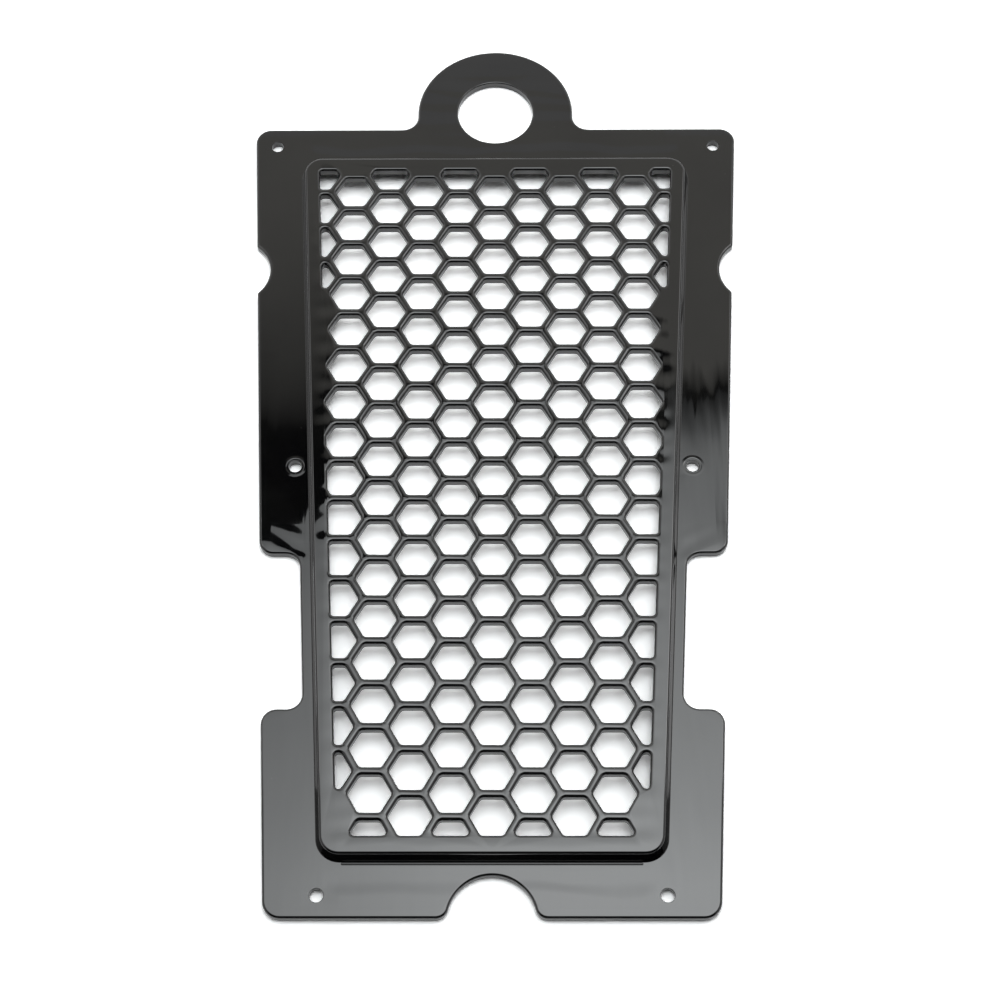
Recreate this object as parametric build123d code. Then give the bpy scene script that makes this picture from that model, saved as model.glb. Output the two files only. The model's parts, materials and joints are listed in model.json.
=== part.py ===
from build123d import *
import math
import os

# Motorcycle radiator guard: one moulded plate that lies with its front face up.
# Millimetres. X runs across the guard, Y from the notched foot to the ear, Z out of the front face.
# The origin is under the middle of the whole outline, on the plane of the back face.

# Flange plate
wall = 3.0  # moulded wall of the flange, the step and the honeycomb
plate_length = 303.7  # lower edge to upper edge, without the ear
upper_width = 182.3  # at the upper edge, where the sides would meet it
lower_width = 142.8  # at the lower edge
upper_corner_round = 5.0
lower_corner_round = 4.5
edge_bevel = 0.6  # broken front edge all round

# Ear with the large bore
ear_radius = 29.5
ear_rise = 7.8  # ear centre above the upper edge
ear_root_round = 6.0
ear_bore = 28.5
bore_bevel = 0.4

# Rounded notch in each side
side_notch_radius = 13.0
side_notch_depth = 4.7
side_notch_drop = 64.0  # notch centre below the upper edge
side_notch_round = 1.5

# Waist, where the flange steps in on both sides
waist_cut = 13.7
waist_drop = 178.6  # upper shoulder below the upper edge
waist_length = 55.9
waist_round = 5.0

# Rounded notch in the lower edge
foot_notch_radius = 14.0
foot_notch_depth = 13.6
foot_notch_round = 4.0

# Raised panel with the honeycomb window
window_rise = 25.0  # window above the lower edge
window_drop = 22.5  # window below the upper edge
window_inset = 24.15  # from the flange's side to the window's side, along X
panel_border = 5.4  # solid rim of the panel beside and above the window
panel_foot_border = 6.0  # and below it
panel_corner = 6.3
panel_raise = 4.8  # front of the panel above the front of the flange
panel_run = 1.4  # lean of the steep step
panel_round = 0.9
recess_inset = 2.25  # hollow behind the panel, inside the step

# Honeycomb cells
cell_pitch = 15.0
cell_width = 12.6  # across flats
cell_bevel = 0.4
least_reach = 4.2  # a cut cell that keeps less than this is left solid

# Screw holes
screw_hole = 4.4
upper_hole_drop = 8.2
upper_hole_inset = 8.2
middle_hole_drop = 145.2
middle_hole_inset = 12.75
lower_hole_rise = 7.3
lower_hole_inset = 17.05
dish_width = 8.2  # shallow dish round each middle hole
dish_depth = 0.25

# Derived places
lower_edge = -(plate_length + ear_rise + ear_radius) / 2
upper_edge = lower_edge + plate_length
ear_center = upper_edge + ear_rise
waist_top = upper_edge - waist_drop
waist_bottom = waist_top - waist_length
side_notch_y = upper_edge - side_notch_drop
foot_notch_y = lower_edge + foot_notch_depth - foot_notch_radius
window_bottom = lower_edge + window_rise
window_top = upper_edge - window_drop
front = wall + panel_raise
side_slope = (upper_width - lower_width) / 2 / plate_length
step_angle = math.degrees(math.atan2(panel_run, panel_raise))


def half_width(y):
    return lower_width / 2 + side_slope * (y - lower_edge)


def window_side(y):
    return half_width(y) - window_inset


def both_sides(right_points):
    left_points = [(-x, y) for x, y in reversed(right_points)]
    return make_face(Polyline(right_points + left_points, close=True))


def round_corners(sketch, places, radius):
    for x, y in places:
        for side in (-1, 1):
            corner = sketch.vertices().sort_by_distance((side * x, y))[0]
            sketch = fillet(corner, radius)
    return sketch


def flange_outline():
    corners = [
        (half_width(lower_edge), lower_edge),
        (half_width(waist_bottom), waist_bottom),
        (half_width(waist_bottom) - waist_cut, waist_bottom),
        (half_width(waist_top) - waist_cut, waist_top),
        (half_width(waist_top), waist_top),
        (half_width(upper_edge), upper_edge),
    ]
    outline = Sketch() + both_sides(corners)
    outline += Pos(0, ear_center) * Circle(ear_radius)
    outline += Pos(0, (upper_edge + ear_center) / 2) * Rectangle(2 * ear_radius, ear_rise)
    outline -= Pos(0, foot_notch_y) * Circle(foot_notch_radius)
    notch_x = half_width(side_notch_y) - side_notch_depth + side_notch_radius
    for side in (-1, 1):
        outline -= Pos(side * notch_x, side_notch_y) * Circle(side_notch_radius)

    foot_mouth = math.sqrt(foot_notch_radius**2 - (lower_edge - foot_notch_y) ** 2)
    outline = round_corners(outline, corners[:1], lower_corner_round)
    outline = round_corners(outline, corners[1:5], waist_round)
    outline = round_corners(outline, corners[5:], upper_corner_round)
    outline = round_corners(outline, [(ear_radius, upper_edge)], ear_root_round)
    outline = round_corners(outline, [(foot_mouth, lower_edge)], foot_notch_round)
    outline = round_corners(outline, side_notch_ends(notch_x), side_notch_round)
    return outline


def side_notch_ends(notch_x):
    # The notch's circle meets the sloping side where a quadratic in y is zero
    ends = []
    lead = half_width(side_notch_y) - notch_x
    square = 1 + side_slope**2
    root = math.sqrt((side_slope * lead) ** 2 - square * (lead**2 - side_notch_radius**2))
    for sign in (-1, 1):
        y = side_notch_y + (-side_slope * lead + sign * root) / square
        ends.append((half_width(y), y))
    return ends


def window_face():
    return both_sides([
        (window_side(window_bottom), window_bottom),
        (window_side(window_top), window_top),
    ])


def panel_top_face():
    side = panel_border * math.hypot(1, side_slope)
    low, high = window_bottom - panel_foot_border, window_top + panel_border
    face = both_sides([(window_side(low) + side, low), (window_side(high) + side, high)])
    return fillet(face.vertices(), panel_corner)


def panel_base_face():
    return offset(panel_top_face(), panel_run)


def cell_centres():
    column_pitch = cell_pitch * math.sqrt(3) / 2
    reach = cell_width / math.sqrt(3)
    lowest = window_bottom + cell_width / 2
    columns = int((window_side(window_top) + reach) / column_pitch)
    rows = int((window_top - window_bottom) / cell_pitch) + 1
    centres = []
    for column in range(-columns, columns + 1):
        odd = column % 2
        x = column * column_pitch
        for row in range(rows + odd):
            y = lowest + (row - odd / 2) * cell_pitch
            kept_width = window_side(y) - abs(x) + reach
            kept_height = window_top - y + cell_width / 2
            solid_corner = row == 0 and abs(x) > window_side(y)
            if min(kept_width, kept_height) > least_reach and not solid_corner:
                centres.append((x, y))
    return centres


def cell_cutter(opening):
    mouth = offset(opening, 2 * cell_bevel, kind=Kind.INTERSECTION)
    levels = [
        Pos(0, 0, front - 2 * wall) * opening,
        Pos(0, 0, front - cell_bevel) * opening,
        Pos(0, 0, front + cell_bevel) * mouth,
    ]
    return loft(levels, ruled=True)


def cell_cutters():
    window = window_face()
    cell = Sketch() + RegularPolygon(cell_width / 2, 6, major_radius=False)
    whole_cutter = cell_cutter(cell)
    cutters = []
    for x, y in cell_centres():
        opening = (Pos(x, y) * cell) & window
        whole = math.isclose(opening.area, cell.area, rel_tol=1e-6)
        cutters.append(Pos(x, y) * whole_cutter if whole else cell_cutter(opening))
    return cutters


def screw_places():
    upper_y = upper_edge - upper_hole_drop
    middle_y = upper_edge - middle_hole_drop
    lower_y = lower_edge + lower_hole_rise
    return {
        "upper": (half_width(upper_y) - upper_hole_inset, upper_y),
        "middle": (half_width(middle_y) - middle_hole_inset, middle_y),
        "lower": (half_width(lower_y) - lower_hole_inset, lower_y),
    }


def screw_cutters():
    cutters = []
    for name, (x, y) in screw_places().items():
        for side in (-1, 1):
            place = Pos(side * x, y, 0)
            cutters.append(place * Cylinder(screw_hole / 2, 3 * wall))
            if name == "middle":
                dish = Cone(screw_hole / 2, dish_width / 2, dish_depth)
                cutters.append(place * Pos(0, 0, wall - dish_depth / 2) * dish)
    return cutters


def flange():
    plate = extrude(flange_outline(), wall)
    plate = chamfer(plate.edges().group_by(Axis.Z)[-1], edge_bevel)
    plate -= Pos(0, ear_center, wall / 2) * Cylinder(ear_bore / 2, 2 * wall)
    rim = plate.edges().filter_by(GeomType.CIRCLE)
    rim = rim.filter_by(lambda e: abs(e.radius - ear_bore / 2) < 1e-6).group_by(Axis.Z)[-1]
    return chamfer(rim, bore_bevel)


def panel():
    block = extrude(Pos(0, 0, wall) * panel_base_face(), panel_raise, taper=step_angle)
    return fillet(block.edges().group_by(Axis.Z)[-1], panel_round)


def recess():
    mouth = offset(panel_base_face(), -recess_inset)
    return extrude(mouth, panel_raise, taper=step_angle)


def step_foot(body):
    line = (Pos(0, 0, wall) * panel_base_face()).wire()
    return body.edges().filter_by(lambda edge: line.distance_to(edge @ 0.5) < wall / 1000)


def radiator_guard():
    body = flange() + panel()
    body = fillet(step_foot(body), panel_round)
    body -= recess()
    body -= cell_cutters() + screw_cutters()
    return body


os.makedirs("parts", exist_ok=True)
guard = radiator_guard()
export_step(guard, "parts/radiator_guard.step")
for name, (x, y) in screw_places().items():
    print(name, "holes at x", round(x, 3), "y", round(y, 3))
print("ear bore at y", round(ear_center, 3), "front face at z", round(front, 3))
print("cells", len(cell_centres()))
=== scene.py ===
import bpy
import bmesh
import json
import math
from mathutils import Matrix, Vector

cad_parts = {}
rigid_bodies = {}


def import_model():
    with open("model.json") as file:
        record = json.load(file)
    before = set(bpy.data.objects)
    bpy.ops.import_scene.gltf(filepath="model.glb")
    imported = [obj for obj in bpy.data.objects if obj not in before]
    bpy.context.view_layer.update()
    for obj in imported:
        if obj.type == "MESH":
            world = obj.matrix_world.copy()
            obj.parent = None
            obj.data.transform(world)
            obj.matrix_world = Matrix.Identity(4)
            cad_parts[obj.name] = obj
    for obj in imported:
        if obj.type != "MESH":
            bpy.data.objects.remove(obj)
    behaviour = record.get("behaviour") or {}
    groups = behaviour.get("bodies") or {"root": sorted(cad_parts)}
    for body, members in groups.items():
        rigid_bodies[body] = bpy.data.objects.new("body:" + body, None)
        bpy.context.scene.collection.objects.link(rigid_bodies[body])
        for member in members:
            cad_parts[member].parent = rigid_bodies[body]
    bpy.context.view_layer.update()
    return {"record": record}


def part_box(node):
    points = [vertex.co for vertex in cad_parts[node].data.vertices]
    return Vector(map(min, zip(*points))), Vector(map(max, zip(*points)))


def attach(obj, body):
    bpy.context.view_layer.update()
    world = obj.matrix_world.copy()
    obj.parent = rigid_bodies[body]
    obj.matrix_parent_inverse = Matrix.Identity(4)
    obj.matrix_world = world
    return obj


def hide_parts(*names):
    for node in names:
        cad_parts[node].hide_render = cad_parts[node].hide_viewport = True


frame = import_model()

mounts = {mount["name"]: mount for mount in frame["record"]["mounts"]}

# Glossy black moulded guard, lying on its back.
# Metres: X across, Y from foot to ear, Z out of the front.
flange = {
    "wall": 0.0030,
    "length": 0.3037,           # lower edge to upper edge, without the ear
    "lowerWidth": 0.1428,
    "upperWidth": 0.1823,
    "lowerCorner": 0.0058,
    "upperCorner": 0.0056,
    "earRadius": 0.0295,
    "earRoot": 0.0060,
    "sideNotchRadius": 0.0130,
    "sideNotchDepth": 0.0047,
    "sideNotchDrop": 0.0640,    # notch centre below the upper edge
    "sideNotchRound": 0.0015,
    "waistCut": 0.0137,
    "waistDrop": 0.1786,        # upper shoulder below the upper edge
    "waistLength": 0.0559,
    "waistRound": 0.0050,
    "footNotchRadius": 0.0140,
    "footNotchDepth": 0.0136,
    "footNotchRound": 0.0040,
    "frontRound": 0.0009,       # rounded front edge
    "frontSteps": 5,
    "backRound": 0.00025,
    "backSteps": 2,
}
panel = {
    "windowRise": 0.02525,      # window above the lower edge
    "windowDrop": 0.0225,       # window below the upper edge
    "windowInset": 0.02415,     # flange side to window side, along X
    "border": 0.0054,           # beside and above the window
    "footBorder": 0.00595,      # below the window
    "corner": 0.0063,
    "cornerSteps": 14,
    "run": 0.0014,              # lean of the steep step
    "footRound": 0.0003,
    "edgeRound": 0.0011,
    "recessInset": 0.00225,     # hollow behind the panel, inside the step
    "recessRound": 0.0005,
    "roundSteps": 4,
}

guardLow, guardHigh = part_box("radiator_guard")
lowerEdge = guardLow.y
upperEdge = lowerEdge + flange["length"]
frontZ = guardHigh.z
backZ = guardLow.z
flangeZ = backZ + flange["wall"]
ceilingZ = frontZ - flange["wall"]
earCentreY = guardHigh.y - flange["earRadius"]
slope = (flange["upperWidth"] - flange["lowerWidth"]) / 2 / flange["length"]
slant = math.hypot(1, slope)
windowBottom = lowerEdge + panel["windowRise"]
windowTop = upperEdge - panel["windowDrop"]
stepAngle = math.atan2(frontZ - flangeZ, panel["run"])

arcSag = 0.00001                # how far a drawn arc's chord may leave the circle
weldGap = 0.000001              # points nearer than this are one
leastMove = 0.0000001           # shorter moves are left out
seedSize = 0.001                # plane that a drawing starts from, deleted or merged at once


def halfWidth(y):
    return flange["lowerWidth"] / 2 + slope * (y - lowerEdge)


def windowSide(y):
    return halfWidth(y) - panel["windowInset"]


# Editing helpers
def startPiece(name):
    bpy.ops.object.select_all(action="DESELECT")
    bpy.ops.mesh.primitive_plane_add(size=seedSize)
    piece = bpy.context.object
    piece.name = name
    piece.data.name = name
    bpy.ops.object.mode_set(mode="EDIT")
    bpy.ops.mesh.delete(type="VERT")
    return piece


def pickNothing(kind):
    bpy.ops.mesh.select_mode(type=kind)
    bpy.ops.mesh.select_all(action="DESELECT")


def pick(kind, test):
    pickNothing(kind)
    mesh = bpy.context.edit_object.data
    bm = bmesh.from_edit_mesh(mesh)
    parts = {"VERT": bm.verts, "EDGE": bm.edges, "FACE": bm.faces}[kind]
    count = 0
    for part in parts:
        if test(part):
            part.select_set(True)
            count += 1
    bm.select_flush_mode()
    bmesh.update_edit_mesh(mesh)
    return count


def isFlat(part, z):
    return all(abs(vert.co.z - z) < weldGap for vert in part.verts)


def pickOpenEdges(z):
    return pick("EDGE", lambda edge: isFlat(edge, z) and len(edge.link_faces) < 2)


def extrude(x, y, z):
    bpy.ops.mesh.extrude_region_move(TRANSFORM_OT_translate={"value": (x, y, z)})


# A pen that draws edges: straight runs are extruded and arcs are spun
pen = {}


def penStart(x, y, z):
    pickNothing("VERT")
    bpy.ops.mesh.primitive_plane_add(size=seedSize)
    bpy.ops.mesh.merge(type="CENTER")
    bpy.ops.transform.translate(value=(x, y, z))
    pen["at"] = Vector((x, y))
    pen["z"] = z


def penTo(x, y):
    step = Vector((x, y)) - pen["at"]
    if step.length > leastMove:
        extrude(step.x, step.y, 0)
        pen["at"] = Vector((x, y))


def penArc(centre, angle, steps=0):
    spoke = pen["at"] - Vector(centre)
    if not steps:
        steps = math.ceil(abs(angle) / (2 * math.acos(1 - arcSag / spoke.length)))
    bpy.ops.mesh.spin(steps=steps, angle=-angle, center=(*centre, pen["z"]), axis=(0, 0, 1))
    turned = Matrix.Rotation(angle, 2) @ spoke
    pen["at"] = Vector(centre) + turned


def penCorner(corner, after, radius, steps=0):
    corner = Vector(corner)
    inward = (corner - pen["at"]).normalized()
    onward = (Vector(after) - corner).normalized()
    turn = math.atan2(inward.x * onward.y - inward.y * onward.x, inward.dot(onward))
    begin = corner - inward * radius * math.tan(abs(turn) / 2)
    side = math.copysign(radius, turn)
    penTo(*begin)
    penArc((begin.x - inward.y * side, begin.y + inward.x * side), turn, steps)


def penFace():
    bpy.ops.mesh.select_linked()
    bpy.ops.mesh.remove_doubles(threshold=weldGap)
    bpy.ops.mesh.edge_face_add()


def drawFourSides(corners, z, radius, steps):
    # from the middle of the last side and round, so that the start lies on x = 0
    start = (0, corners[0][1])
    penStart(*start, z)
    for corner, after in zip(corners, corners[1:] + [start]):
        penCorner(corner, after, radius, steps)
    penTo(*start)
    penFace()


# Profiles are lists of (inward, up) moves that a face makes, ring by ring
def bend(fromAngle, toAngle, radius, steps):
    sign = math.copysign(1, toAngle - fromAngle)
    moves = []
    for step in range(steps):
        a = fromAngle + (toAngle - fromAngle) * step / steps
        b = fromAngle + (toAngle - fromAngle) * (step + 1) / steps
        inward = sign * radius * (math.sin(b) - math.sin(a))
        up = sign * radius * (math.cos(a) - math.cos(b))
        moves.append((inward, up))
    return moves


def ringFaces(moves):
    for inward, up in moves:
        if inward > leastMove:
            bpy.ops.mesh.inset(thickness=inward, use_boundary=True, use_even_offset=True)
            bpy.ops.transform.translate(value=(0, 0, up))
        else:
            extrude(0, 0, up)


def drawOutline():
    f = flange
    waistTop = upperEdge - f["waistDrop"]
    waistBottom = waistTop - f["waistLength"]
    notchY = upperEdge - f["sideNotchDrop"]
    footY = lowerEdge + f["footNotchDepth"] - f["footNotchRadius"]

    # half of the foot notch and its shoulder
    penStart(0, footY + f["footNotchRadius"], flangeZ - f["frontRound"])
    rise = lowerEdge + f["footNotchRound"] - footY
    reach = math.sqrt((f["footNotchRadius"] + f["footNotchRound"]) ** 2 - rise ** 2)
    sweep = math.pi / 2 - math.atan2(rise, reach)
    penArc((0, footY), -sweep)
    penArc((reach, lowerEdge + f["footNotchRound"]), sweep)

    # lower corner, waist and upper side
    waist = [
        (halfWidth(waistBottom), waistBottom),
        (halfWidth(waistBottom) - f["waistCut"], waistBottom),
        (halfWidth(waistTop) - f["waistCut"], waistTop),
        (halfWidth(waistTop), waistTop),
    ]
    upperCorner = (halfWidth(upperEdge), upperEdge)
    penCorner((halfWidth(lowerEdge), lowerEdge), waist[0], f["lowerCorner"])
    for corner, after in zip(waist, waist[1:] + [upperCorner]):
        penCorner(corner, after, f["waistRound"])

    # side notch between its two small rounds
    along = Vector((slope, 1)) / slant
    inward = Vector((-1, slope)) / slant
    radius, small = f["sideNotchRadius"], f["sideNotchRound"]
    notch = Vector((halfWidth(notchY) - f["sideNotchDepth"] + radius, notchY))
    stand = (radius - f["sideNotchDepth"]) / slant
    sweep = math.acos((stand + small) / (radius + small))
    half = (radius + small) * math.sin(sweep)
    middle = notch + inward * stand
    penTo(*(middle - along * half))
    penArc(middle - along * half + inward * small, sweep)
    penArc(notch, -2 * sweep)
    penArc(middle + along * half + inward * small, sweep)

    # upper corner and half of the ear
    earSide = f["earRadius"] + f["earRoot"]
    penCorner(upperCorner, (0, upperEdge), f["upperCorner"])
    penTo(earSide, upperEdge)
    penArc((earSide, upperEdge + f["earRoot"]), -math.pi / 2)
    penTo(f["earRadius"], earCentreY)
    penArc((0, earCentreY), math.pi / 2)

    # the other half
    bpy.ops.mesh.select_all(action="SELECT")
    bpy.ops.mesh.duplicate()
    bpy.ops.transform.resize(value=(-1, 1, 1), center_override=(0, 0, 0))
    bpy.ops.mesh.select_all(action="SELECT")
    penFace()


def buildFlangeEdge():
    drawOutline()
    right = math.pi / 2
    topZ = flangeZ - flange["frontRound"]
    ringFaces(bend(right, 0, flange["frontRound"], flange["frontSteps"]))
    bpy.ops.mesh.delete(type="ONLY_FACE")
    pickOpenEdges(topZ)
    extrude(0, 0, backZ + flange["backRound"] - topZ)
    bpy.ops.mesh.edge_face_add()
    backMoves = bend(right, 0, flange["backRound"], flange["backSteps"])
    ringFaces([(inward, -up) for inward, up in backMoves])
    bpy.ops.mesh.delete(type="ONLY_FACE")
    print("flange edge done")


def drawTrapezoid(grow, z):
    # the window's outline, grown on all sides
    y = [windowBottom - grow - panel["footBorder"] + panel["border"], windowTop + grow]
    x = [windowSide(level) + grow * slant for level in y]
    corners = [(x[0], y[0]), (x[1], y[1]), (-x[1], y[1]), (-x[0], y[0])]
    drawFourSides(corners, z, panel["corner"] + grow - panel["border"], panel["cornerSteps"])


def stepMoves(footRound, edgeRound):
    rise = frontZ - flangeZ
    trim = (footRound + edgeRound) * math.tan(stepAngle / 2)
    run = rise / math.sin(stepAngle) - trim
    moves = bend(0, stepAngle, footRound, panel["roundSteps"])
    moves.append((run * math.cos(stepAngle), run * math.sin(stepAngle)))
    return moves + bend(stepAngle, 0, edgeRound, panel["roundSteps"])


def buildStep():
    half = math.tan(stepAngle / 2)
    drawTrapezoid(panel["border"] + panel["run"] + panel["footRound"] * half, flangeZ)
    ringFaces(stepMoves(panel["footRound"], panel["edgeRound"]))
    bpy.ops.mesh.delete(type="ONLY_FACE")
    recess = panel["border"] + panel["run"] - panel["recessInset"]
    drawTrapezoid(recess + panel["recessRound"] * half, backZ)
    ringFaces(stepMoves(panel["recessRound"], panel["recessRound"]))
    bpy.ops.mesh.delete(type="ONLY_FACE")
    print("step and recess done")


ridge = {
    "width": 0.0008,            # low ridge along the lower side of the step
    "rise": 0.00035,
    "roundSteps": 4,
    "gap": 0.00001,             # between it and the step
    "endShare": 0.46,           # round at its corners, as a share of its width
    "endSteps": 6,
}


def buildRidge():
    foot = panel["run"] + panel["footRound"] * math.tan(stepAngle / 2)
    high = windowBottom - panel["footBorder"] - foot - ridge["gap"]
    low = high - ridge["width"]
    reach = windowSide(high) - panel["corner"] + panel["border"]
    corners = [(reach, low), (reach, high), (-reach, high), (-reach, low)]
    drawFourSides(corners, flangeZ, ridge["width"] * ridge["endShare"], ridge["endSteps"])
    ringFaces(bend(math.pi / 2, 0, ridge["rise"], ridge["roundSteps"]))
    print("ridge done")


cells = {
    "pitch": 0.0150,
    "width": 0.01235,           # across flats
    "leastReach": 0.0042,       # a cut cell that keeps less than this is solid
    "corner": 0.0013,
    "cutCorner": 0.0011,        # round where the window's line cuts a cell
    "cutAngle": math.radians(100),  # at the foot, a sharper corner is a cut one
    "cornerTurn": math.radians(20),  # turn of one short side in a round
    "rim": 0.00095,             # rounded front rim
    "rimSteps": 3,
    "lineGap": 0.00001,         # a corner this near to a line is on it
    "sameAngle": 0.001,         # radians
    "sidesBelow": 40,           # faces at the front with fewer sides are cells
    "cutGap": 0.0000001,        # threshold of the cuts along the window's lines
}


def cellCentres():
    columnPitch = cells["pitch"] * math.sqrt(3) / 2
    reach = cells["width"] / math.sqrt(3)
    lowest = windowBottom + cells["width"] / 2
    columns = int((windowSide(windowTop) + reach) / columnPitch)
    rows = int((windowTop - windowBottom) / cells["pitch"]) + 1
    centres = []
    for column in range(-columns, columns + 1):
        odd = column % 2
        x = column * columnPitch
        for row in range(rows + odd):
            y = lowest + (row - odd / 2) * cells["pitch"]
            kept = min(windowSide(y) - abs(x) + reach, windowTop - y + cells["width"] / 2)
            solidCorner = row == 0 and abs(x) > windowSide(y)
            if kept > cells["leastReach"] and not solidCorner:
                centres.append((x, y))
    return centres


def isCell(face):
    return len(face.verts) < cells["sidesBelow"] and isFlat(face, frontZ)


def cellCorners(bm):
    # each corner of the drawn cells, with its angle and the round that it takes
    corners = {}
    rim, gap = cells["rim"], cells["lineGap"]
    for face in bm.faces:
        if not isCell(face):
            continue
        for loop in face.loops:
            x, y = loop.vert.co.xy
            angle = loop.calc_angle()
            onSide = abs(abs(x) - windowSide(y) - rim * slant) < gap
            onTop = abs(y - windowTop - rim) < gap
            onFoot = abs(y - windowBottom + rim) < gap
            isCut = onSide or onTop or (onFoot and angle < cells["cutAngle"])
            radius = cells["cutCorner"] if isCut else cells["corner"]
            corners[loop.vert] = (angle, radius + rim)
    return corners


def meetPoint(before, a, after, b):
    r, s = a - before, b - after
    cross = r.x * s.y - r.y * s.x
    return a + r * ((b.x - a.x) * s.y - (b.y - a.y) * s.x) / cross


def swallowShortSides():
    # a side too short for its two rounds goes, and its neighbours meet instead
    mesh = bpy.context.edit_object.data
    bm = bmesh.from_edit_mesh(mesh)
    corners = cellCorners(bm)
    for edge in bm.edges:
        a, b = edge.verts
        if a not in corners:
            continue
        need = sum(corners[v][1] / math.tan(corners[v][0] / 2) for v in edge.verts)
        if edge.calc_length() < need:
            before = next(e for e in a.link_edges if e != edge).other_vert(a).co
            after = next(e for e in b.link_edges if e != edge).other_vert(b).co
            a.co = b.co = meetPoint(before, a.co, after, b.co)
    bmesh.update_edit_mesh(mesh)
    pick("FACE", isCell)
    bpy.ops.mesh.remove_doubles(threshold=weldGap)


def placeCells():
    # one hexagon is drawn, copied along the lattice and cut by the window's lines
    centres = cellCentres()
    rim = cells["rim"]
    reach = (cells["width"] + 2 * rim) / math.sqrt(3)
    pickNothing("FACE")
    bpy.ops.mesh.primitive_circle_add(vertices=6, radius=reach, fill_type="NGON",
                                      location=(*centres[0], frontZ), rotation=(0, 0, math.pi / 6))
    for before, after in zip(centres, centres[1:]):
        step = (after[0] - before[0], after[1] - before[1], 0)
        bpy.ops.mesh.duplicate_move(TRANSFORM_OT_translate={"value": step})
    sideX = windowSide(0) + rim * slant
    lines = [
        ((0, windowTop + rim, 0), (0, 1, 0)),
        ((0, windowBottom - rim, 0), (0, -1, 0)),
        ((-sideX, 0, 0), (-1, -slope, 0)),
        ((sideX, 0, 0), (1, -slope, 0)),
    ]
    for place, normal in lines:
        pick("FACE", isCell)
        bpy.ops.mesh.bisect(plane_co=place, plane_no=normal, clear_outer=True, threshold=cells["cutGap"])
    swallowShortSides()
    print("cells placed", len(centres))


def roundCells():
    # each kind of corner takes one pass, with the profile that makes its round a true arc
    mesh = bpy.context.edit_object.data
    bm = bmesh.from_edit_mesh(mesh)
    kinds = {(round(angle, 3), radius) for angle, radius in cellCorners(bm).values()}
    for angle, radius in sorted(kinds):
        bm = bmesh.from_edit_mesh(mesh)
        wanted = set()
        for vert, kind in cellCorners(bm).items():
            if abs(kind[0] - angle) < cells["sameAngle"] and kind[1] == radius:
                wanted.add(vert.index)
        pick("VERT", lambda vert: vert.index in wanted)
        steps = max(2, round((math.pi - angle) / cells["cornerTurn"]))
        profile = (1 - 0.5 / (1 + math.sin(angle / 2))) ** 2
        bpy.ops.mesh.bevel(affect="VERTICES", offset=radius / math.tan(angle / 2), segments=steps,
                           profile=profile, clamp_overlap=False)
    print("cell corners rounded", len(kinds), "kinds")


def buildCells():
    placeCells()
    roundCells()
    pick("FACE", isCell)
    rim = bend(0, -math.pi / 2, cells["rim"], cells["rimSteps"])
    ringFaces(rim + [(0, ceilingZ - frontZ + cells["rim"])])
    bpy.ops.mesh.delete(type="ONLY_FACE")
    print("cell rims and walls done")


holes = {
    "perMetre": 1000,           # the mounts are in millimetres
    "boreRim": 0.0006,
    "boreSides": 96,
    "screwRim": 0.0002,
    "screwSides": 40,
    "rimSteps": 3,
    "backRim": 0.0002,
    "lipRadius": 0.0042,        # slight swelling round the dish of the middle holes
    "lipRise": 0.000026,
    "lipEase": 0.05,            # share of the rise that is left to each end of the swelling
    "dishRadius": 0.0032,
    "dishEdge": 0.00012,
    "dishDepth": 0.00002,
    "dishFlat": 0.0001,         # keeps the swelling straight and the dish's floor flat
}


def turnHole(x, y, sides, profile):
    # a ring of edges is drawn down through the wall, from one radius and height to the next
    radius, z = profile[0]
    pickNothing("EDGE")
    bpy.ops.mesh.primitive_circle_add(vertices=sides, radius=radius, location=(x, y, z))
    for nextRadius, nextZ in profile[1:]:
        extrude(0, 0, nextZ - z)
        factor = nextRadius / radius
        bpy.ops.transform.resize(value=(factor, factor, 1), center_override=(x, y, nextZ))
        radius, z = nextRadius, nextZ


def dishProfile(innerRadius, floorZ):
    rise, ease, flat = holes["lipRise"], holes["lipEase"], holes["dishFlat"]
    floorRadius = holes["dishRadius"] - holes["dishEdge"]
    return [
        (holes["lipRadius"], flangeZ),
        (holes["lipRadius"] - flat, flangeZ + rise * ease),
        (holes["dishRadius"] + flat, flangeZ + rise * (1 - ease)),
        (holes["dishRadius"], flangeZ + rise),
        (floorRadius, floorZ),
        (floorRadius - flat, floorZ),
        (innerRadius + flat, floorZ),
    ]


def holeProfile(radius, rim, dished=False):
    topZ = flangeZ
    profile = []
    if dished:
        topZ = flangeZ - holes["dishDepth"]
        profile = dishProfile(radius + rim, topZ)
    for step in range(holes["rimSteps"] + 1):
        angle = math.pi / 2 * step / holes["rimSteps"]
        profile.append((radius + rim * (1 - math.sin(angle)), topZ - rim * (1 - math.cos(angle))))
    profile.append((radius, backZ + holes["backRim"]))
    profile.append((radius + holes["backRim"], backZ))
    return profile


def buildHoles():
    bore = mounts["ear_bore"]
    profile = holeProfile(bore["dims"]["r_mm"] / holes["perMetre"], holes["boreRim"])
    turnHole(0, bore["pos_m"][1], holes["boreSides"], profile)
    for name in ("upper_holes", "middle_holes", "lower_holes"):
        dims = mounts[name]["dims"]
        y = mounts[name]["pos_m"][1]
        reach = dims["spacing_x_mm"] / 2 / holes["perMetre"]
        radius = dims["hole_r_mm"] / holes["perMetre"]
        profile = holeProfile(radius, holes["screwRim"], name == "middle_holes")
        for x in (-reach, reach):
            turnHole(x, y, holes["screwSides"], profile)
    print("bore and screw holes done")


def fillFlats():
    for z in (flangeZ, frontZ, backZ, ceilingZ):
        count = pickOpenEdges(z)
        bpy.ops.mesh.fill(use_beauty=True)
        print("flat at", round(z, 4), "filled from", count, "edges")


shading = {
    "sharpAngle": math.radians(38),
    "weight": 100,              # the large flats lead the normals
}


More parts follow.
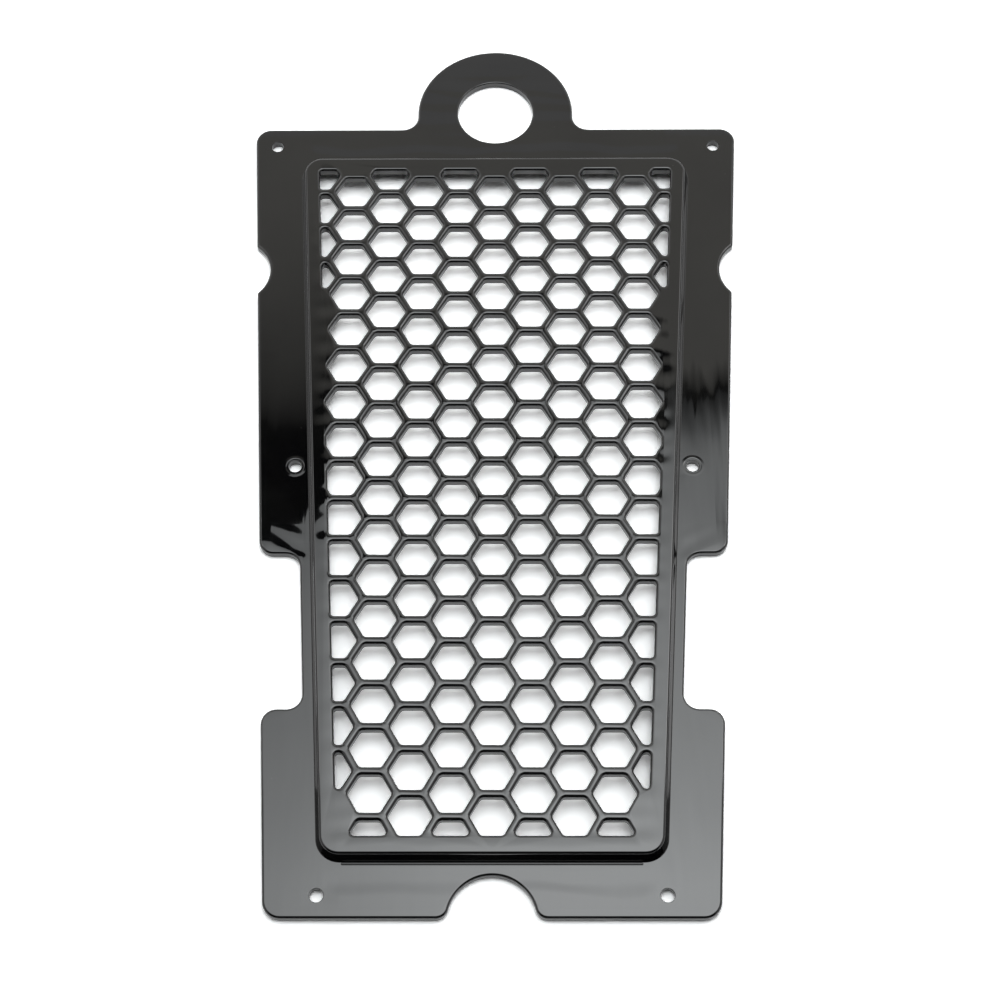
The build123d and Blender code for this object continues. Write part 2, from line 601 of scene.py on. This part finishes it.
def finishPiece(piece):
    bpy.ops.mesh.select_all(action="SELECT")
    bpy.ops.mesh.normals_make_consistent(inside=False)
    bm = bmesh.from_edit_mesh(piece.data)
    print("open edges", sum(not edge.is_manifold for edge in bm.edges), "volume", bm.calc_volume())
    bpy.ops.object.mode_set(mode="OBJECT")
    bpy.ops.object.shade_smooth_by_angle(angle=shading["sharpAngle"])
    weigh = piece.modifiers.new("evenShading", "WEIGHTED_NORMAL")
    weigh.weight = shading["weight"]
    weigh.keep_sharp = True
    bpy.ops.object.modifier_apply(modifier=weigh.name)


piece = startPiece("radiatorGuard")
buildFlangeEdge()
buildStep()
buildRidge()
buildCells()
buildHoles()
fillFlats()
finishPiece(piece)
triangles = sum(len(face.vertices) - 2 for face in piece.data.polygons)
print("guard", len(piece.data.polygons), "faces", triangles, "triangles")

# Nodes: an input takes a plain value or the output of another node
white = (1, 1, 1, 1)
nodeGap = (220, 180)            # columns and rows in the node editor


def addNode(tree, kind, inputs, **settings):
    node = tree.nodes.new(kind)
    for name, value in settings.items():
        setattr(node, name, value)
    for name, value in inputs.items():
        if isinstance(value, bpy.types.NodeSocket):
            tree.links.new(value, node.inputs[name])
        else:
            node.inputs[name].default_value = value
    return node


def emptyMaterial(name):
    material = bpy.data.materials.new(name)
    material.use_nodes = True
    material.node_tree.nodes.clear()
    return material, material.node_tree


def layOut(tree):
    # a node's column is its number of links from the output
    columns = {node.name: 0 for node in tree.nodes}
    for _ in tree.nodes:
        for link in tree.links:
            source = link.from_node.name
            columns[source] = max(columns[source], columns[link.to_node.name] + 1)
    filled = {}
    for node in tree.nodes:
        column = columns[node.name]
        row = filled.get(column, 0)
        node.location = (-column * nodeGap[0], -row * nodeGap[1])
        filled[column] = row + 1


def setSurface(tree, shader, kind="ShaderNodeOutputMaterial"):
    addNode(tree, kind, {"Surface": shader.outputs[0]})
    layOut(tree)


def calc(tree, operation, *values):
    return addNode(tree, "ShaderNodeMath", dict(enumerate(values)), operation=operation).outputs[0]


def mapRange(tree, value, fromValues, toValues):
    inputs = {"Value": value}
    inputs["From Min"], inputs["From Max"] = fromValues
    inputs["To Min"], inputs["To Max"] = toValues
    return addNode(tree, "ShaderNodeMapRange", inputs).outputs["Result"]


def fallOff(tree, distance, reach):
    return mapRange(tree, distance, (0, reach), (1, 0))


def mixColours(tree, share, first, second):
    # 0, 6 and 7 are the sockets for the share and the two colours
    mix = addNode(tree, "ShaderNodeMix", {0: share, 6: first, 7: second}, data_type="RGBA")
    return mix.outputs[2]


def noise(tree, place, length, detail=1.0):
    inputs = {"Vector": place, "Scale": 1 / length, "Detail": detail}
    return addNode(tree, "ShaderNodeTexNoise", inputs).outputs["Fac"]


def objectPlace(tree):
    return addNode(tree, "ShaderNodeTexCoord", {}).outputs["Object"]


def splitXY(tree, place):
    split = addNode(tree, "ShaderNodeSeparateXYZ", {0: place})
    return split.outputs["X"], split.outputs["Y"]


uneven = {
    "waveLength": 0.034,        # slow waves of a moulded flat
    "waveHeight": 0.000034,
    "streakSize": (0.0045, 0.035),  # long streaks, across and along
    "streakHeight": 0.00012,
    "streakX": (0.02, 0.06),    # they grow to the right, between these
    "streakShare": (0.1, 1),
    "sinkHeight": 0.000030,     # sink marks where the bars meet the panel's rim
    "sinkReach": 0.0050,
    "sinkDrift": 4.0,           # radians that the waves shift them
    "sinkSecond": 0.5,          # share of a second mark in each row
    "rollHeight": 0.000045,     # flats that fall off towards an edge
    "rollReach": 0.0030,
    "shoulderRoll": 1.6,        # times as much at the shoulders
    "rippleHeight": 0.000036,   # ripples beside the shoulders
    "rippleLength": 0.0090,
    "rippleReach": 0.0110,
    "rippleStart": 0.0066,
    "rippleLean": 0.65,
    "rippleDrift": 0.4,         # in ripple lengths, how far the waves shift them
    "tilt": 0.0180,             # tilt of the flange beside the step, near the shoulders
    "tiltReach": 0.0080,
    "tiltFade": 0.0300,
    "tiltStart": 0.0040,
    "tiltEdge": 0.0025,         # begins this far inside the waist's side
    "sideTilt": 0.020,          # tilt of the flange's outer side, near the shoulders
    "sideReach": 0.0035,
    "sideRise": 0.0120,
    "sideFade": 0.0800,
    "flangeFrom": (-0.0035, -0.0005),   # where these set in, from the waist's side outwards
    "shoulderFrom": (-0.006, -0.001),   # and from the shoulder upwards
}


def streaks(tree, place, x):
    across, along = uneven["streakSize"]
    stretch = addNode(tree, "ShaderNodeMapping", {"Vector": place, "Scale": (1 / across, 1 / along, 1)})
    height = calc(tree, "MULTIPLY", noise(tree, stretch.outputs[0], 1.0), uneven["streakHeight"])
    return calc(tree, "MULTIPLY", height, mapRange(tree, x, uneven["streakX"], uneven["streakShare"]))


def sinkMarks(tree, wave, offMiddle, y):
    # along the window's two sides, for each row of cells
    sideX = calc(tree, "MULTIPLY_ADD", y, slope, windowSide(0))
    beside = calc(tree, "SUBTRACT", offMiddle, sideX)
    turns = calc(tree, "MULTIPLY", calc(tree, "SUBTRACT", y, windowBottom), math.tau / cells["pitch"])
    turns = calc(tree, "ADD", turns, calc(tree, "MULTIPLY", wave, uneven["sinkDrift"]))
    second = calc(tree, "SINE", calc(tree, "MULTIPLY", turns, 2.0))
    second = calc(tree, "MULTIPLY", second, uneven["sinkSecond"])
    height = calc(tree, "ADD", calc(tree, "COSINE", turns), second)
    height = calc(tree, "MULTIPLY", height, uneven["sinkHeight"])
    return calc(tree, "MULTIPLY", height, fallOff(tree, beside, uneven["sinkReach"]))


def squareRoll(tree, distance):
    return calc(tree, "POWER", fallOff(tree, distance, uneven["rollReach"]), 2.0)


def shoulders(tree, wave, offMiddle, y):
    # the flange above the waist, on both sides
    waistTop = upperEdge - flange["waistDrop"]
    outerX = halfWidth(waistTop)
    innerX = outerX - flange["waistCut"]
    above = calc(tree, "SUBTRACT", y, waistTop)
    fromSide = calc(tree, "SUBTRACT", outerX, offMiddle)

    # leaning ripples
    lean = calc(tree, "MULTIPLY_ADD", fromSide, uneven["rippleLean"], above)
    drift = calc(tree, "SUBTRACT", wave, 0.5)
    drift = calc(tree, "MULTIPLY", drift, uneven["rippleLength"] * uneven["rippleDrift"])
    swirl = calc(tree, "SUBTRACT", calc(tree, "ADD", lean, drift), uneven["rippleStart"])
    turns = calc(tree, "MULTIPLY", swirl, math.tau / uneven["rippleLength"])
    height = calc(tree, "MULTIPLY", calc(tree, "COSINE", turns), uneven["rippleHeight"])
    height = calc(tree, "MULTIPLY", height, fallOff(tree, above, uneven["rippleReach"]))

    # the roll down to the shoulder
    roll = calc(tree, "MULTIPLY", squareRoll(tree, above), fallOff(tree, fromSide, flange["waistCut"]))
    roll = calc(tree, "MULTIPLY", roll, uneven["rollHeight"] * uneven["shoulderRoll"])
    height = calc(tree, "SUBTRACT", height, roll)

    # the tilt beside the step
    fromStep = calc(tree, "SUBTRACT", offMiddle, innerX - uneven["tiltEdge"])
    tilt = calc(tree, "POWER", fallOff(tree, fromStep, uneven["tiltReach"]), 2.0)
    tilt = calc(tree, "MULTIPLY", tilt, fallOff(tree, above, uneven["tiltFade"]))
    higher = calc(tree, "MAXIMUM", calc(tree, "SUBTRACT", above, uneven["tiltStart"]), 0.0)
    tilt = calc(tree, "MULTIPLY", tilt, calc(tree, "MULTIPLY", higher, uneven["tilt"]))
    height = calc(tree, "ADD", height, tilt)

    # the tilt of the outer side
    away = calc(tree, "MINIMUM", above, uneven["sideRise"])
    away = calc(tree, "MULTIPLY", away, fallOff(tree, fromSide, uneven["sideReach"]))
    away = calc(tree, "MULTIPLY", away, fallOff(tree, above, uneven["sideFade"]))
    height = calc(tree, "SUBTRACT", height, calc(tree, "MULTIPLY", away, uneven["sideTilt"]))

    onFlange = mapRange(tree, offMiddle, [innerX + x for x in uneven["flangeFrom"]], (0, 1))
    onFlange = calc(tree, "MULTIPLY", onFlange, mapRange(tree, above, uneven["shoulderFrom"], (0, 1)))
    return calc(tree, "MULTIPLY", height, onFlange)


def plasticHeight(tree, place):
    # height of the unevenness, in metres
    x, y = splitXY(tree, place)
    offMiddle = calc(tree, "ABSOLUTE", x)
    wave = noise(tree, place, uneven["waveLength"])
    height = calc(tree, "MULTIPLY", wave, uneven["waveHeight"])
    height = calc(tree, "ADD", height, streaks(tree, place, x))
    height = calc(tree, "ADD", height, sinkMarks(tree, wave, offMiddle, y))
    height = calc(tree, "ADD", height, shoulders(tree, wave, offMiddle, y))
    footRoll = squareRoll(tree, calc(tree, "SUBTRACT", y, lowerEdge))
    return calc(tree, "SUBTRACT", height, calc(tree, "MULTIPLY", footRoll, uneven["rollHeight"]))


plastic = {
    "colour": (0.0022, 0.0022, 0.0024, 1),
    "greyed": (0.0055, 0.0055, 0.0052, 1),  # faintly greyer patches
    "greyedSize": 0.045,
    "greyedFrom": (0.42, 0.68),     # noise levels between which it sets in
    "dust": (0.060, 0.058, 0.055, 1),
    "dustPerMetre": 260,
    "speckSize": 0.035,         # radius of a speck, in the distance from one to the next
    "dustySize": 0.011,         # specks are only in patches of this size
    "dustyFrom": 0.60,
    "roughness": 0.030,
    "haze": 0.055,              # roughness added where it has been handled
    "hazeSize": 0.020,
    "hazeFrom": (0.52, 0.75),
    "scratch": 0.12,            # roughness added in a scratch
    "scratchScale": (900, 14, 14),  # per metre, so that they are long and thin
    "scratchTurn": math.radians(6),
    "scratchFrom": (0.80, 0.86),
    "ior": 1.6,
}


def plasticColour(tree, place):
    # greyer patches and a few specks of dust
    patches = noise(tree, place, plastic["greyedSize"], detail=4.0)
    patches = mapRange(tree, patches, plastic["greyedFrom"], (0, 1))
    speck = addNode(tree, "ShaderNodeTexVoronoi", {"Vector": place, "Scale": plastic["dustPerMetre"]})
    isSpeck = calc(tree, "LESS_THAN", speck.outputs["Distance"], plastic["speckSize"])
    dusty = noise(tree, place, plastic["dustySize"], detail=2.0)
    dusty = calc(tree, "GREATER_THAN", dusty, plastic["dustyFrom"])
    base = mixColours(tree, patches, plastic["colour"], plastic["greyed"])
    return mixColours(tree, calc(tree, "MULTIPLY", isSpeck, dusty), base, plastic["dust"])


def plasticRoughness(tree, place):
    # handled patches are a little hazier, and a few hair-fine scratches run up and down
    haze = noise(tree, place, plastic["hazeSize"], detail=5.0)
    haze = mapRange(tree, haze, plastic["hazeFrom"], (0, plastic["haze"]))
    turn = (0, 0, plastic["scratchTurn"])
    inputs = {"Vector": place, "Scale": plastic["scratchScale"], "Rotation": turn}
    stretch = addNode(tree, "ShaderNodeMapping", inputs)
    hair = noise(tree, stretch.outputs[0], 1.0, detail=0.0)
    scratch = mapRange(tree, hair, plastic["scratchFrom"], (0, plastic["scratch"]))
    return calc(tree, "ADD", calc(tree, "ADD", haze, scratch), plastic["roughness"])


def makePlastic():
    material, tree = emptyMaterial("glossBlackPlastic")
    place = objectPlace(tree)
    height = plasticHeight(tree, place)
    bump = addNode(tree, "ShaderNodeBump", {"Height": height, "Strength": 1.0, "Distance": 1.0})
    shader = addNode(tree, "ShaderNodeBsdfPrincipled", {
        "Base Color": plasticColour(tree, place),
        "Roughness": plasticRoughness(tree, place),
        "IOR": plastic["ior"],
        "Normal": bump.outputs["Normal"],
    })
    setSurface(tree, shader)
    return material


piece.data.materials.clear()
piece.data.materials.append(makePlastic())
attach(piece, "root")
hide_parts("radiator_guard")
print("plastic on")


# Lamps and dark cards, hidden from the camera itself
def addCard(name, corners):
    bpy.ops.object.select_all(action="DESELECT")
    bpy.ops.mesh.primitive_circle_add(vertices=len(corners), fill_type="NGON")
    card = bpy.context.object
    card.name = name
    for vert, corner in zip(card.data.vertices, corners):
        vert.co = corner
    card.visible_camera = False
    return card


def levelCorners(acrossX, alongY, z):
    (low, high), (near, far) = acrossX, alongY
    return [(low, near, z), (high, near, z), (high, far, z), (low, far, z)]


def setGlow(tree, strength, tint=white):
    setSurface(tree, addNode(tree, "ShaderNodeEmission", {"Color": tint, "Strength": strength}))


def levelRamp(tree, value, levels):
    first, last = levels[0][0], levels[-1][0]
    share = mapRange(tree, value, (first, last), (0, 1))
    ramp = addNode(tree, "ShaderNodeValToRGB", {"Fac": share})
    stops = ramp.color_ramp.elements
    while len(stops) < len(levels):
        stops.new(0.5)          # placed below
    for stop, (where, level) in zip(stops, levels):
        stop.position = (where - first) / (last - first)
        stop.color = (level, level, level, 1)
    return ramp.outputs["Color"]


lamp = {
    "height": 1.10,
    "near": -0.40,
    "nearSide": 0.30,           # half width at the near edge
    "side": 0.55,
    "farEdge": ((0.55, 0.65), (0.20, 0.645), (-0.22, 0.494), (-0.55, 0.49)),
    "strength": 5.4,
    "across": (                 # levels at places along X
        (-0.218, 0.65), (-0.12, 0.80), (-0.06, 0.895), (0, 0.95),
        (0.06, 0.985), (0.12, 1.00), (0.192, 0.98),
    ),
    "fade": (                   # levels at places along Y
        (-0.40, 0.25), (-0.05, 1.00), (0.144, 1.00), (0.216, 0.83), (0.29, 0.71), (0.40, 0.61),
        (0.49, 0.47), (0.56, 0.40), (0.592, 0.31), (0.612, 0.15), (0.632, 0.06), (0.65, 0.02),
    ),
    "wing": 1.2,                # strength at the outer sides
    "wingX": (0.30, 0.50),
    "tint": (0.97, 1.00, 1.01, 1),
}


def makeLamp():
    z, near, nearSide, side = lamp["height"], lamp["near"], lamp["nearSide"], lamp["side"]
    corners = [(-side, 0.0, z), (-nearSide, near, z), (nearSide, near, z), (side, 0.0, z)]
    corners += [(x, y, z) for x, y in lamp["farEdge"]]
    card = addCard("softLamp", corners)
    material, tree = emptyMaterial("lampGlow")
    x, y = splitXY(tree, objectPlace(tree))
    across = calc(tree, "MULTIPLY", levelRamp(tree, x, lamp["across"]), lamp["strength"])
    toWing = mapRange(tree, calc(tree, "ABSOLUTE", x), lamp["wingX"], (0, 1))
    body = addNode(tree, "ShaderNodeMix", {"Factor": toWing, "A": across, "B": lamp["wing"]})
    along = levelRamp(tree, y, lamp["fade"])
    setGlow(tree, calc(tree, "MULTIPLY", body.outputs["Result"], along), lamp["tint"])
    card.data.materials.append(material)


sideLamps = {
    "left": {"x": (-0.78, -0.45), "strength": (3.9, 2.0)},
    "right": {"x": (0.46, 0.80), "strength": (7.0, 3.2)},
    "y": (0.25, 1.00),
    "fade": (0.45, 0.66),       # between these it goes from the first strength to the second
    "drop": 0.005,              # hung a little below the lamp
}


def makeSideLamps():
    # long lamps at both sides, seen in the steep sides of the step
    z = lamp["height"] - sideLamps["drop"]
    for side in ("left", "right"):
        values = sideLamps[side]
        card = addCard(side + "Lamp", levelCorners(values["x"], sideLamps["y"], z))
        material, tree = emptyMaterial(side + "LampGlow")
        y = splitXY(tree, objectPlace(tree))[1]
        setGlow(tree, mapRange(tree, y, sideLamps["fade"], values["strength"]))
        card.data.materials.append(material)


darkStrip = {
    "x": (-0.95, 0.95),
    "y": (0.3, 1.00),
    "lift": 0.004,              # hung a little above the lamp
    "acrossX": (-0.218, 0.192),     # left and right, for the next two
    "start": (0.612, 0.655),    # where it begins to pale
    "paleOver": (0.270, 0.025),     # over what depth it pales
    "pale": 0.72,               # how light it gets
    "curve": 0.6,
    "tint": (1.00, 0.98, 0.92, 1),
}


def makeDarkStrip():
    # beyond the lamp the room is dark, and pales slowly at the left and quickly at the right
    corners = levelCorners(darkStrip["x"], darkStrip["y"], lamp["height"] + darkStrip["lift"])
    card = addCard("darkStrip", corners)
    material, tree = emptyMaterial("darkStripGlow")
    x, y = splitXY(tree, objectPlace(tree))
    start = mapRange(tree, x, darkStrip["acrossX"], darkStrip["start"])
    depth = mapRange(tree, x, darkStrip["acrossX"], darkStrip["paleOver"])
    share = calc(tree, "DIVIDE", calc(tree, "SUBTRACT", y, start), depth)
    share = calc(tree, "MINIMUM", calc(tree, "MAXIMUM", share, 0.0), 1.0)
    pale = calc(tree, "POWER", share, darkStrip["curve"])
    setGlow(tree, calc(tree, "MULTIPLY", pale, darkStrip["pale"]), darkStrip["tint"])
    card.data.materials.append(material)


darkCards = {
    "side": 1.5,                # half width
    "depth": 1.20,              # from the guard's middle back to the wall
    "colour": (0.03, 0.03, 0.03, 1),
}


def makeDarkCards():
    # black cards behind the camera
    z, side, deep = lamp["height"], darkCards["side"], -darkCards["depth"]
    cards = {
        "darkRoof": levelCorners((-side, side), (deep, lamp["near"]), z),
        "darkWall": [(-side, deep, 0), (side, deep, 0), (side, deep, z), (-side, deep, z)],
    }
    material, tree = emptyMaterial("darkCard")
    setSurface(tree, addNode(tree, "ShaderNodeBsdfDiffuse", {"Color": darkCards["colour"]}))
    for name, corners in cards.items():
        addCard(name, corners).data.materials.append(material)


# Floor and room
ground = {
    "size": 8,
    "drop": 0.00003,            # below the guard's back
    "colour": (0.85, 0.85, 0.85, 1),
    "seen": (1.40, 1.40, 1.40, 1),  # burnt-out white as in the photo, only where it is looked at
}


def seenRays(tree):
    # 1 where a surface is looked at, straight or in a gloss or glass, and 0 where it only lights
    rays = addNode(tree, "ShaderNodeLightPath", {}).outputs
    seen = calc(tree, "MAXIMUM", rays["Is Camera Ray"], rays["Is Glossy Ray"])
    return calc(tree, "MAXIMUM", seen, rays["Is Transmission Ray"])


def makeFloor():
    bpy.ops.object.select_all(action="DESELECT")
    bpy.ops.mesh.primitive_plane_add(size=ground["size"], location=(0, 0, backZ - ground["drop"]))
    floor = bpy.context.object
    floor.name = "floor"
    material, tree = emptyMaterial("paleFloor")
    shade = mixColours(tree, seenRays(tree), ground["colour"], ground["seen"])
    setSurface(tree, addNode(tree, "ShaderNodeBsdfDiffuse", {"Color": shade}))
    floor.data.materials.append(material)


backdrop = {
    "side": 1.3,                # half width
    "y": 1.20,
    "z": (0.40, 1.08),
    "glow": 1.7,                # the bright wall beyond the guard
}


def makeBackdrop():
    side, y, (low, high) = backdrop["side"], backdrop["y"], backdrop["z"]
    card = addCard("backdrop", [(-side, y, low), (-side, y, high), (side, y, high), (side, y, low)])
    material, tree = emptyMaterial("backdropGlow")
    setGlow(tree, backdrop["glow"])
    card.data.materials.append(material)


room = {
    "glow": 0.75,               # pale on all sides
}


def makeRoom():
    world = bpy.data.worlds.new("paleRoom")
    world.use_nodes = True
    tree = world.node_tree
    tree.nodes.clear()
    glow = addNode(tree, "ShaderNodeBackground", {"Color": white, "Strength": room["glow"]})
    setSurface(tree, glow, "ShaderNodeOutputWorld")
    bpy.context.scene.world = world


makeLamp()
makeSideLamps()
makeDarkStrip()
makeDarkCards()
makeFloor()
makeBackdrop()
makeRoom()
print("lamps, floor and room set")

camera = {
    "place": (0.007770, -0.323488, 0.593448),
    "turn": (26.800, 0.473, 0.134),     # degrees
    "lens": 69.26,              # millimetres, as the sensor
    "sensor": 36,
    "clip": 0.01,
}
turn = [math.radians(angle) for angle in camera["turn"]]
bpy.ops.object.camera_add(location=camera["place"], rotation=turn)
eye = bpy.context.object
eye.data.lens = camera["lens"]
eye.data.sensor_width = camera["sensor"]
eye.data.clip_start = camera["clip"]
bpy.context.scene.camera = eye
bpy.context.scene.view_settings.view_transform = "Standard"
print("camera set")
